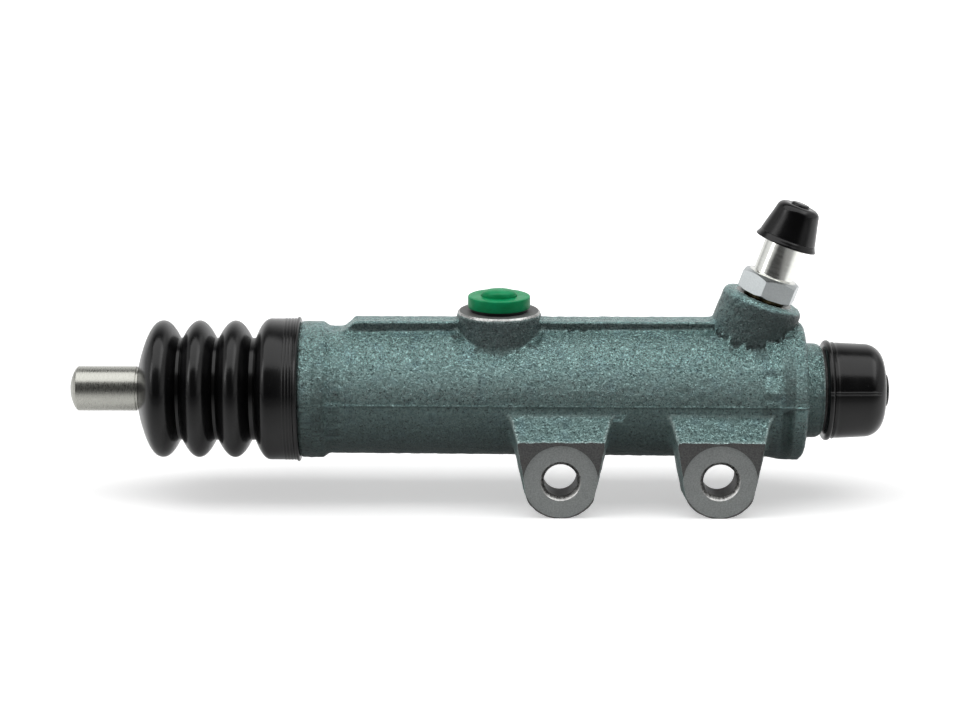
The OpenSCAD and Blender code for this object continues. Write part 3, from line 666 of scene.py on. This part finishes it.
def turn_ends(body):
    """The spigot and its groove, turned down to the collar's face, and the neck under the rear cap."""
    clear = 20.0
    groove_end = BOOT_GROOVE + 2.6
    lathe(body, on_bore, MILLED, [
        (clear, BODY_FRONT - 3), (14.91, BODY_FRONT - 3), (14.91, BODY_FRONT), (SPIGOT_R, BODY_FRONT + 0.6),
        (SPIGOT_R, BOOT_GROOVE), (BOOT_GROOVE_R, BOOT_GROOVE), (BOOT_GROOVE_R, groove_end),
        (SPIGOT_R, groove_end), (SPIGOT_R, COLLAR), (clear, COLLAR), (clear, BODY_FRONT - 3)], closed=True)
    lathe(body, on_bore, MILLED, [(clear, BODY_FRONT - 4), (clear, BODY_FRONT)])
    neck_start = NECK_END - 0.1
    lathe(body, on_bore, MILLED, [
        (clear, BODY_END + 2), (9.8, BODY_END + 2), (9.8, BODY_END), (NECK_R, BODY_END - 0.6),
        (NECK_R, neck_start), (clear, neck_start), (clear, BODY_END + 2)], closed=True)
    lathe(body, on_bore, MILLED, [(clear, BODY_END), (clear, BODY_END + 3)])


def bore_out(body):
    """The bore with the snap ring's groove, its drilled end, and the wide hole for the rear plug."""
    ring_start, ring_end, ring_r = -89.25, -87.98, 11.81
    bore_end, drilling_end = 30.0, 39.2
    lathe(body, on_bore, SPOT_FACED, [
        (12.61, BODY_FRONT - 0.5), (BORE_R, BODY_FRONT + 1), (BORE_R, ring_start), (ring_r, ring_start),
        (ring_r, ring_end), (BORE_R, ring_end), (BORE_R, bore_end), (6.0, bore_end), (6.0, drilling_end),
        (8.0, drilling_end), (8.0, BODY_END + 0.5)])


def machine_inlet(body):
    """The inlet's milled face with a fresh bevel round it, then the port and the drilling to the bore."""
    clear = 14.0
    bevel_foot, bevel_top = INLET_FACE - 0.7, INLET_FACE + 0.1
    lathe(body, on_inlet, MILLED, [(clear, INLET_FACE), (clear, 24.0)])
    lathe(body, on_inlet, FRESH_CUT, [
        (clear, bevel_foot), (10.75, bevel_foot), (9.95, bevel_top), (clear, bevel_top),
        (clear, bevel_foot)], closed=True)
    lathe(body, on_inlet, SPOT_FACED, [
        (2.0, 4.0), (2.0, 12.61), (PORT_R, 12.61), (PORT_R, INLET_FACE - 0.5),
        (PORT_R + 1, INLET_FACE + 0.5)])


def drill_bleeder(body):
    """The bleeder's hole with its cone and a narrow bright rim."""
    rim = BOSS_TOP - 0.1
    lathe(body, on_bleeder, FRESH_CUT, [
        (1.5, 5.0), (1.5, 14.3), (6.0, 18.8), (6.0, BOSS_TOP - 0.9), (6.8, rim), (7.3, rim),
        (7.5, BOSS_TOP + 0.5)])


def machine_ears(body):
    """Fronts and backs milled flat, then each hole spot faced, chamfered and drilled."""
    clear_x, clear_z = 40, 14
    cut_away(body, box("cutter", (-clear_x, EAR_FRONT - 4, -clear_z), (clear_x, EAR_FRONT, clear_z)), MILLED)
    cut_away(body, box("cutter", (-clear_x, 0, -clear_z), (clear_x, 0.4, PAD_TOP)), MILLED)
    spot_face = [(SPOT_FACE_R, EAR_FRONT - 1), (SPOT_FACE_R, EAR_FRONT + 0.25)]
    chamfer = [(6.1, EAR_FRONT - 0.75), (5.05, EAR_FRONT + 0.3), (4.0, EAR_FRONT + 1.35)]
    # The drill has a ring at every millimetre, so that the holes' walls get no long thin faces
    drill = [(HOLE_R, EAR_FRONT - 1 + step) for step in range(11)]
    for side in (-1, 1):
        for profile, metal in ((spot_face, SPOT_FACED), (chamfer, FRESH_CUT), (drill, DRILLED)):
            cut_away(body, on_hole(turned("cutter", profile), side), metal)


def mark_wear_and_highlights(body):
    """Paint is thin and rubbed where it ends at a machined face, and along a few cast corners; its pale mark
    is partly that wear and partly a painted highlight on the edges.
    """
    wear_and_highlight_share = body.data.attributes.new("wear_and_highlight", "FLOAT", "POINT")
    painted = [i for i, slot in enumerate(body.data.materials) if slot == PAINT]
    cut = set()
    for face in body.data.polygons:
        if face.material_index not in painted:
            cut.update(face.vertices)
    near = set()
    for edge in body.data.edges:
        first, second = edge.vertices
        if first in cut or second in cut:
            near.update((first, second))
    for index in near:
        wear_and_highlight_share.data[index].value = 1.0 if index in cut else 0.6
    for vertex in body.data.vertices:
        share = rubbed_and_highlit(*(vertex.co / MM))
        if share is not None:
            wear_and_highlight_share.data[vertex.index].value = share


def rubbed_and_highlit(x, y, z):
    """How strong the pale mark is round the inlet's foot, along the ears' tops and up their sides: partly
    worn paint, partly a painted highlight.
    """
    high = z - AXIS_Z
    boss_draft, fillet_r = 0.136, 17.3
    from_boss = math.hypot(x - INLET_X, y - AXIS_Y) - INLET_BOSS_R + (high - INLET_FOOT) * boss_draft
    if y < AXIS_Y and high > 9 and 0.1 < from_boss < 1.2 and abs(from_axis(y, z) - fillet_r) < 0.5:
        return 0.4
    if y >= -4:
        return None
    out = abs(x - nearest_hole(x))
    ear_top, ear_side, side_start, flare = 16.3, 10.75, 10.1, 2.15
    if abs(z - ear_top) < 0.4 and out < 12.6:
        return 0.22
    climb = (z - side_start) / 6.3
    if 0 < climb < 1 and abs(out - ear_side - flare * climb) < 0.45:
        return 0.65
    return None


def flat_machining(body):
    """Keeps the milled and spot faced faces flat up to their edges."""
    metals = [i for i, slot in enumerate(body.data.materials) if slot in (MILLED, SPOT_FACED)]
    for face in body.data.polygons:
        if face.material_index in metals and max(abs(v) for v in face.normal) > 0.999:
            face.use_smooth = False


# Rubber pieces

def shoulder(top, foot, away, run, power):
    """Radius at a distance from a crest, as it falls to its foot over a run."""
    return top - (top - foot) * max(0.0, min(1.0, away / run)) ** power


def boot_outside(x):
    """The boot's outer radius: a shouldered nose, three round folds, a valley and the smooth cuff."""
    if x < FIRST_FOLD:
        return shoulder(FOLD_R, 6.2, FIRST_FOLD - x, 6.25, 2.3)
    if x < LAST_VALLEY:
        fold = min(2, round((x - FIRST_FOLD) / FOLD_PITCH))
        return shoulder(FOLD_R, VALLEY_R, abs(x - FIRST_FOLD - fold * FOLD_PITCH), 4.2, 2)
    return shoulder(CUFF_R, VALLEY_R, CUFF - x, 4.1, 2.3)


def dust_boot():
    """Ribbed rubber boot: a nose with a moulding edge, three folds, and a ridged cuff with a thin lip."""
    steps, wall, gap = 140, 1.7, 0.05
    grip_r, nose_r, hollow_r = 5.75, 5.25, 6.7
    edge_x, edge_half, edge_height = -126.35, 0.25, 0.22
    stations = [BOOT_NOSE + i * (CUFF - BOOT_NOSE) / steps for i in range(steps + 1)]
    outer = [(boot_outside(x) + edge_height * max(0.0, 1 - abs(x - edge_x) / edge_half), x) for x in stations]
    ridges = []
    for x in (-89.6, -88.8, -88.0, -87.2):
        ridges += [(CUFF_R, x - 0.22), (CUFF_R + 0.16, x), (CUFF_R, x + 0.22)]
    lip = [(18.08, -86.85), (18.5, -86.45), (18.52, -86.3), (18.3, -86.0), (17.8, BOOT_END)]
    seat_r, bead_r = SPIGOT_R + gap, BOOT_GROOVE_R + 0.1
    bead_start, bead_end = BOOT_GROOVE + gap, BOOT_GROOVE + 2.55
    inner = [(seat_r, BOOT_END), (seat_r, bead_end), (bead_r, bead_end), (bead_r, bead_start),
             (seat_r, bead_start), (seat_r, BODY_FRONT - gap)]
    inner += [(max(boot_outside(x) - wall, hollow_r), x)
              for x in reversed(stations) if BOOT_HOLLOW < x < BODY_FRONT - wall]
    grip = [(hollow_r, BOOT_HOLLOW), (grip_r, BOOT_HOLLOW), (grip_r, -126.2), (nose_r, -126.2),
            (nose_r, BOOT_NOSE)]
    profile = outer + ridges + lip + inner + grip
    boot = on_bore(turned("boot", profile + [profile[0]], 128, closed=True))
    boot.data.materials.append(RUBBER)
    soften(boot, 40)
    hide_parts("dust_boot")
    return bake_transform(boot)


def raise_seam(cap):
    """Two thin raised lines along the cap's moulding seam, which faces front and a little up."""
    middle = Vector((55, AXIS_Y, AXIS_Z))
    rise = math.radians(11)
    out = Vector((0, -math.cos(rise), math.sin(rise)))
    across = Vector((0, math.sin(rise), math.cos(rise)))

    def on_seam(point):
        away = point - middle
        return abs(abs(away.dot(across)) - 0.3) < 0.02 and away.dot(out) > 11

    cuts = [(middle + across * offset) * MM for offset in (-0.45, -0.3, -0.15, 0.0, 0.15, 0.3, 0.45)]
    raise_lines(cap, cuts, across, on_seam, 0.1)


def rear_cap():
    """Rubber cap with a round lip, a fine second ridge, a moulding seam and a disc on its end."""
    mouth, shoulder_x = NECK_END + 0.6, 57.96
    profile = [(8.3, 60.7), (9.915, 59.1), (10.45, 56.3), (10.45, mouth), (12.0, mouth)]
    profile += arc(12.0, mouth + 0.9, 0.86, -75, 65)
    ridge = [(12.18, 49.4), (12.22, 49.6), (12.38, 49.8), (12.4, 50.0), (12.3, 50.25), (12.22, 50.5)]
    side = [(12.25 - 0.35 * i / 6, 51.0 + 6.96 * i / 6) for i in range(6)]
    disc = [(4.6, 62.86), (4.32, 62.95), (4.25, 63.7), (4.05, 64.0), (3.6, 64.14), (1.2, 64.16)]
    profile += ridge + side + arc(7.0, shoulder_x, 4.9, 0, 90, 14) + disc
    cap = on_bore(turned("end_cap", profile))
    raise_seam(cap)
    return finished(cap, RUBBER, "rubber", "end_cap", "rear_cap")


def bleeder_cap():
    """Tapered rubber cap with a flared lip, a fine groove above it and a nub on its rounded top."""
    mouth, top, cavity_r = 40.9, 50.95, 5.15
    cavity = [(3.7, NIPPLE_TOP + 0.05), (cavity_r, NIPPLE_TOP - 3.3), (cavity_r, mouth + 0.5)]
    lip = [(7.0, mouth + 0.5), (7.75, mouth + 0.05), (7.9, mouth), (7.9, mouth + 0.15), (7.66, mouth + 0.55),
           (7.46, mouth + 0.9), (7.36, mouth + 1.2)]
    groove = [(7.24, mouth + 1.35), (7.14, mouth + 1.5), (7.22, mouth + 1.65)]
    taper = [(7.22 - 1.62 * i / 6, mouth + 1.7 + 6.3 * i / 6) for i in range(1, 6)]
    nub = [(3.5, top + 0.02), (3.2, top - 0.02), (2.4, top), (2.3, top + 0.35), (2.1, top + 0.52),
           (1.7, top + 0.6), (0.4, top + 0.62)]
    profile = cavity + lip + groove + taper + arc(3.6, top - 2, 2.0, 4, 84, 9) + nub
    cap = on_bleeder(turned("nipple_cap", profile))
    return finished(cap, RUBBER, "rubber", "nipple_cap", "bleeder_cap")


# Plastic and plated pieces

def inlet_plug():
    """Green transit plug: a shank, a soft-edged flange and a lens-shaped tab that stands open in its dish."""
    foot, flange, top = INLET_FACE - 4.6, 21.7, 24.7
    shank = [(3.85, foot + 4.1), (3.85, foot), (4.95, foot), (5.45, foot + 0.8), (5.45, flange)]
    rim = [(7.6, flange), (7.82, flange + 0.08), (7.9, flange + 0.3), (7.9, top - 0.35), (7.82, top - 0.12),
           (7.6, top), (7.3, top + 0.03)]
    dish_r = 4.5
    dish = [(dish_r + 0.2, top + 0.03), (dish_r + 0.05, top - 0.03), (dish_r, top - 0.2),
            (dish_r, top - 1.4), (dish_r - 0.2, top - 1.5), (0.8, top - 1.5)]
    plug = turned("transit_plug", shank + rim + dish)
    tab_r, tab_height = 4.4, 1.45
    lens = [(tab_r - 0.1, -1.9), (tab_r, -0.5)]
    for r in (4.39, 4.3, 4.1, 3.8, 3.3, 2.7, 2.0, 1.2, 0.5):
        lens.append((r, tab_height * (1 - (r / tab_r) ** 2.4) ** 0.45))
    tab = put(turned("tab", lens), (0, 0, top + 0.35), (math.radians(-6), 0, 0))
    plug = on_inlet(combine(plug, tab, "UNION"))
    return finished(plug, GREEN, "green_plastic", "transit_plug", "inlet_plug", angle=40)


def threaded_shank():
    """The screw below its hexagon: a coned tip, a neck and six rings of thread."""
    crest_r, root_r, pitch = 5.92, 5.4, 0.875
    profile = [(1.4, 14.4), (3.9, 16.9), (3.9, 19.0), (crest_r + 0.005, 19.4)]
    for ring in range(6):
        foot = 19.7 + ring * pitch
        profile += [(crest_r, foot), (root_r, foot + 0.4), (root_r, foot + 0.47), (crest_r, foot + 0.87)]
    profile += [(5.3, 25.2), (5.3, HEX_FOOT + 0.5)]
    shank = turned("shank", profile)
    shank.data.materials.append(THREAD_ZINC_IN_PAINTED_SHADE)
    return shank


def hexagon():
    """The screw's hexagon, turned to the photo's angle and chamfered at both ends."""
    flats_r, facing = 7.0, math.radians(43)
    deselect()
    bpy.ops.mesh.primitive_cylinder_add(vertices=6, radius=flats_r / math.cos(math.radians(30)) * MM,
                                        depth=(HEX_TOP - HEX_FOOT) * MM,
                                        location=(0, 0, (HEX_TOP + HEX_FOOT) / 2 * MM),
                                        rotation=(0, 0, facing))
    nut = settle(named("bleeder_screw"))
    nut.data.materials.append(ZINC)
    chamfer = turned("chamfer", [
        (7.1, HEX_FOOT - 0.05), (8.6, HEX_FOOT + 0.75), (8.6, HEX_TOP - 1.22), (6.4, HEX_TOP + 0.05)], 128)
    chamfer.data.materials.append(ZINC)
    return combine(nut, chamfer, "INTERSECT")


def barbed_nipple():
    """The hose nipple on the hexagon, with a small foot and a barb at its end."""
    nipple = turned("nipple", [
        (5.0, HEX_TOP - 0.5), (6.1, HEX_TOP - 0.5), (6.1, HEX_TOP + 0.06), (5.9, HEX_TOP + 0.14),
        (5.4, HEX_TOP + 0.16), (5.18, HEX_TOP + 0.26), (5.1, HEX_TOP + 0.5), (5.1, 43.6), (4.2, 44.0),
        (4.2, 45.4), (5.0, 45.8), (5.0, NIPPLE_TOP - 3.3), (3.6, NIPPLE_TOP)])
    nipple.data.materials.append(NIPPLE_STEEL)
    return nipple


def bleeder_screw():
    """Coned tip, thread, chamfered hexagon and barbed nipple on one axis, drilled through."""
    drilling_r = 1.5
    screw = hexagon()
    combine(screw, barbed_nipple(), "UNION")
    combine(screw, threaded_shank(), "UNION")
    cut_away(screw, turned("cutter", [(drilling_r, 17.9), (drilling_r, NIPPLE_TOP + 1)], 32), ZINC)
    edges = screw.modifiers.new("Broken edges", "BEVEL")
    edges.width = 0.09 * MM
    edges.segments = 1
    edges.limit_method = "ANGLE"
    edges.angle_limit = math.radians(38)
    apply(screw, edges)
    return finished(on_bleeder(screw), None, "zinc_steel", "bleeder", "bleeder_screw", angle=25)


def return_spring():
    """Coil spring with closed ends: one wire wound by a screw, its pitch drawn out between the end turns."""
    turns, wire, coil_r, start, end = 11, 1.6, 7.5, -59.0, 29.95
    sides, steps = 12, 28
    deselect()
    bpy.ops.mesh.primitive_circle_add(vertices=sides, radius=wire / 2 * MM, location=(coil_r * MM, 0, 0),
                                      rotation=(math.radians(90), 0, 0))
    spring = settle(named("spring"))
    wind = spring.modifiers.new("Wound", "SCREW")
    wind.axis = "Z"
    wind.angle = turns * 2 * math.pi
    wind.screw_offset = turns * wire * MM
    wind.steps = wind.render_steps = turns * steps
    apply(spring, wind)
    edit(spring)
    bpy.ops.mesh.remove_doubles(threshold=1e-7)
    bpy.ops.mesh.select_all(action="DESELECT")
    bpy.ops.mesh.select_non_manifold()
    bpy.ops.mesh.fill_holes(sides=0)
    bpy.ops.mesh.select_all(action="SELECT")
    bpy.ops.mesh.normals_make_consistent(inside=False)
    bpy.ops.object.mode_set(mode="OBJECT")
    length = end - start - wire
    for index, vertex in enumerate(spring.data.vertices):
        turn = (index // sides) / (turns * steps) * turns
        closed = turn * wire
        if turn > turns - 1:
            drawn = length - (turns - turn) * wire
        elif turn < 1:
            drawn = closed
        else:
            drawn = wire + (turn - 1) * (length - 2 * wire) / (turns - 2)
        vertex.co.z += (drawn - closed + start + wire / 2) * MM
    on_bore(spring)
    spring.data.materials.append(SPRING)
    soften(spring, 50)
    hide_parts("return_spring")
    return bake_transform(spring)


# Carried-over pieces

def dress():
    """Gives the pieces that are kept as they are their finishes."""
    for node, finish in {
        "push_rod": ROD_STEEL, "piston": PISTON, "secondary_cup": RUBBER, "cup_washer": ZINC,
        "primary_cup": RUBBER, "spring_seat": ZINC, "stop_washer": ZINC, "snap_ring": PHOSPHATE,
        "inlet_seat": BRASS, "inlet_plug_ring": RUBBER, "rear_plug": ZINC, "rear_plug_washer": COPPER,
    }.items():
        slots = nodes[node].data.materials
        slots.clear()
        slots.append(finish)


# Stage

def floor():
    """White table: the camera sees it white with the object's shadow, and it throws little light back up."""
    deselect()
    bpy.ops.mesh.primitive_plane_add(size=6, location=(0, 0, (EAR_END - 0.02) * MM))
    table = named("floor")
    f = Finish("white_table")
    path = f.node("ShaderNodeLightPath").outputs
    away = f.node("ShaderNodeVectorMath", {0: f.here}, operation="LENGTH").outputs["Value"]
    glow = f.math("MULTIPLY", path["Is Camera Ray"], f.span(away, 0.12, 0.5, 0.46, 1.0))
    place = f.split(f.here)
    # To glossy rays the table glows, dim in front of the object, brighter under and behind it and towards its
    # right: a glow that is no lamp, painted in for reflections
    near = f.span(place["Y"], -0.14, -0.02, 0.15, 0.75)
    mirrored = f.math("MULTIPLY", path["Is Glossy Ray"], near)
    glossy_glow_right = f.span(place["X"], 0.04, 0.12, 0.2, 0.6)
    seen = f.math("ADD", glow, f.math("MULTIPLY", mirrored, glossy_glow_right))
    pale = f.math("ADD", f.math("MULTIPLY", path["Is Camera Ray"], 0.7), mirrored)
    f.set(Base_Color=f.math("ADD", pale, 0.12), Roughness=0.9, Specular_IOR_Level=0.1,
          Emission_Color=(1, 1, 1, 1), Emission_Strength=seen)
    table.data.materials.append(f.material)


def surroundings():
    """White to the camera. To glossy surfaces it is white behind and at the sides, and dark in front."""
    world = bpy.data.worlds.new("studio")
    bpy.context.scene.world = world
    world.use_nodes = True
    w = Nodes(world.node_tree)
    path = w.node("ShaderNodeLightPath").outputs
    towards = w.split(w.node("ShaderNodeTexCoord").outputs["Generated"])
    behind = w.span(towards["Y"], 0.45, 0.85, 0.06, 1.0)
    beside = w.span(w.math("ABSOLUTE", towards["X"]), 0.6, 0.9, 0.06, 0.8)
    window = w.math("MULTIPLY", w.span(towards["X"], 0.35, 0.6), w.span(towards["Z"], 0.3, 0.6))
    beside = w.math("MAXIMUM", beside, window)
    mirrored = w.math("MULTIPLY", path["Is Glossy Ray"], w.math("MAXIMUM", behind, beside))
    lit = w.math("MULTIPLY", path["Is Diffuse Ray"], 0.32)
    shown = w.math("MAXIMUM", path["Is Camera Ray"], path["Is Transmission Ray"])
    strength = w.math("MAXIMUM", shown, w.math("MAXIMUM", mirrored, lit))
    back = w.tree.nodes["Background"]
    w.feed(back.inputs["Color"], (1, 1, 1, 1))
    w.feed(back.inputs["Strength"], strength)


def softbox(name, place, aim, size, watts):
    """A rectangular lamp in a place, turned towards what it lights. Places and sizes are in metres."""
    lamp = bpy.data.lights.new(name, "AREA")
    lamp.shape = "RECTANGLE"
    lamp.size, lamp.size_y = size
    lamp.energy = watts
    obj = bpy.data.objects.new(name, lamp)
    bpy.context.scene.collection.objects.link(obj)
    obj.location = place
    obj.rotation_euler = (Vector(aim) - Vector(place)).to_track_quat("-Z", "Y").to_euler()
    return obj


def lights():
    """A wide box that is seen in gloss only, one for the matt surfaces, and a weak one on the left."""
    middle = (-0.03, 0.01, 0.02)
    softbox("overhead", (-0.03, -0.156, 0.874), middle, (1.9, 0.96), 9.9).visible_diffuse = False
    softbox("ceiling", (-0.03, -0.07, 0.9), middle, (1.9, 0.6), 8.2).visible_glossy = False
    softbox("left", (-0.82, -0.24, 0.42), middle, (0.25, 0.4), 0.8)


def camera():
    """The photo's view: a long lens in front of the ears, a little above them."""
    lens = bpy.data.cameras.new("camera")
    lens.lens = 90
    lens.sensor_width = 36
    lens.clip_start = 0.05
    lens.clip_end = 20
    obj = bpy.data.objects.new("camera", lens)
    bpy.context.scene.collection.objects.link(obj)
    obj.location = (-0.044524, -0.581239, 0.179682)
    obj.rotation_euler = [math.radians(a) for a in (75.4999, -0.242, -0.3574)]
    bpy.context.scene.camera = obj


cast_body()
dust_boot()
rear_cap()
bleeder_cap()
inlet_plug()
bleeder_screw()
return_spring()
dress()
floor()
surroundings()
lights()
camera()
bpy.context.scene.view_settings.view_transform = "Standard"
